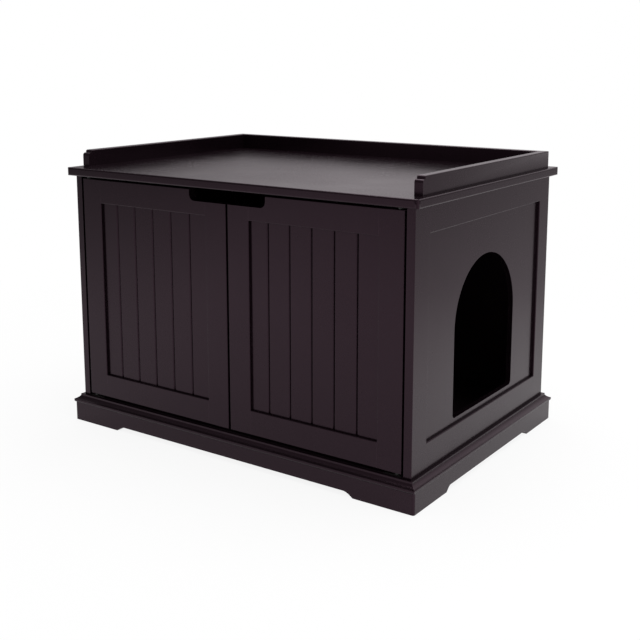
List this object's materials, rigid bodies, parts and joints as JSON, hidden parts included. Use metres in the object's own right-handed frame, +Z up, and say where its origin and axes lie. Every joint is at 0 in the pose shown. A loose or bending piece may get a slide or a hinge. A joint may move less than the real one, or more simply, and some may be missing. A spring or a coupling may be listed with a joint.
{
  "type": "cat litter box cabinet",
  "caption": "Dark espresso cat litter box cabinet with bead-board doors, an arched pet entrance in its right side, a gallery round the top and a bracket-foot plinth.",
  "frame": {"origin": "on the floor, under the middle of the base, which is also under the middle of the whole cabinet", "axes": "+X to the right along the doors, towards the side with the pet entrance, +Y from the doors to the back, +Z up"},
  "size_m": [0.7544, 0.5334, 0.5207],
  "materials": {
    "espresso": "satin dark espresso paint over board, edges slightly eased",
    "espresso_inside": "matte dark espresso laminate",
    "bare_wood": "unfinished softwood and beech",
    "hinge_steel": "dark bronze plated steel",
    "screw_steel": "dark zinc plated screws",
    "zinc": "die-cast zinc, dull",
    "magnet": "nickel plated magnet faces",
    "strike_steel": "brushed plated steel",
    "black_plastic": "moulded matte plastic",
    "nylon": "black moulded nylon"
  },
  "bodies": {
    "cabinet": {"top_panel": "espresso", "gallery_rail_back": "espresso", "gallery_rail_left": "espresso", "gallery_rail_right": "espresso", "gallery_screws": "screw_steel", "right_front_stile": "espresso", "right_back_stile": "espresso", "right_top_rail": "espresso", "right_bottom_rail": "espresso", "entrance_panel": "espresso", "left_front_stile": "espresso", "left_back_stile": "espresso", "left_top_rail": "espresso", "left_bottom_rail": "espresso", "left_side_panel": "espresso", "back_panel": "espresso_inside", "back_panel_screws": "screw_steel", "floor_panel": "espresso_inside", "floor_screws": "screw_steel", "floor_cleats": "bare_wood", "plinth_front": "espresso", "plinth_back": "espresso", "plinth_left": "espresso", "plinth_right": "espresso", "base_moulding_front": "espresso", "base_moulding_back": "espresso", "base_moulding_left": "espresso", "base_moulding_right": "espresso", "corner_blocks": "bare_wood", "corner_block_screws": "screw_steel", "base_screws": "screw_steel", "frame_dowels": "bare_wood", "cam_locks": "zinc", "cam_bolts": "zinc", "catch_housing": "black_plastic", "catch_magnets": "magnet", "catch_screws": "screw_steel", "left_top_hinge_plate": "hinge_steel", "left_bottom_hinge_plate": "hinge_steel", "right_top_hinge_plate": "hinge_steel", "right_bottom_hinge_plate": "hinge_steel", "hinge_washers": "nylon", "hinge_plate_screws": "screw_steel"},
    "left_door": {"left_door_hinge_stile": "espresso", "left_door_meeting_stile": "espresso", "left_door_top_rail": "espresso", "left_door_bottom_rail": "espresso", "left_door_panel": "espresso", "left_hinge_leaves": "hinge_steel", "left_strike_plate": "strike_steel", "left_door_screws": "screw_steel"},
    "right_door": {"right_door_hinge_stile": "espresso", "right_door_meeting_stile": "espresso", "right_door_top_rail": "espresso", "right_door_bottom_rail": "espresso", "right_door_panel": "espresso", "right_hinge_leaves": "hinge_steel", "right_strike_plate": "strike_steel", "right_door_screws": "screw_steel"}
  },
  "joints": [
    {"name": "left_door_hinge", "type": "hinge", "parent": "cabinet", "child": "left_door", "pos_m": [-0.3345, -0.2455, 0.26285], "axis": [0, 0, -1], "range_deg": [0, 110]},
    {"name": "right_door_hinge", "type": "hinge", "parent": "cabinet", "child": "right_door", "pos_m": [0.3345, -0.2455, 0.26285], "axis": [0, 0, 1], "range_deg": [0, 110]}
  ]
}
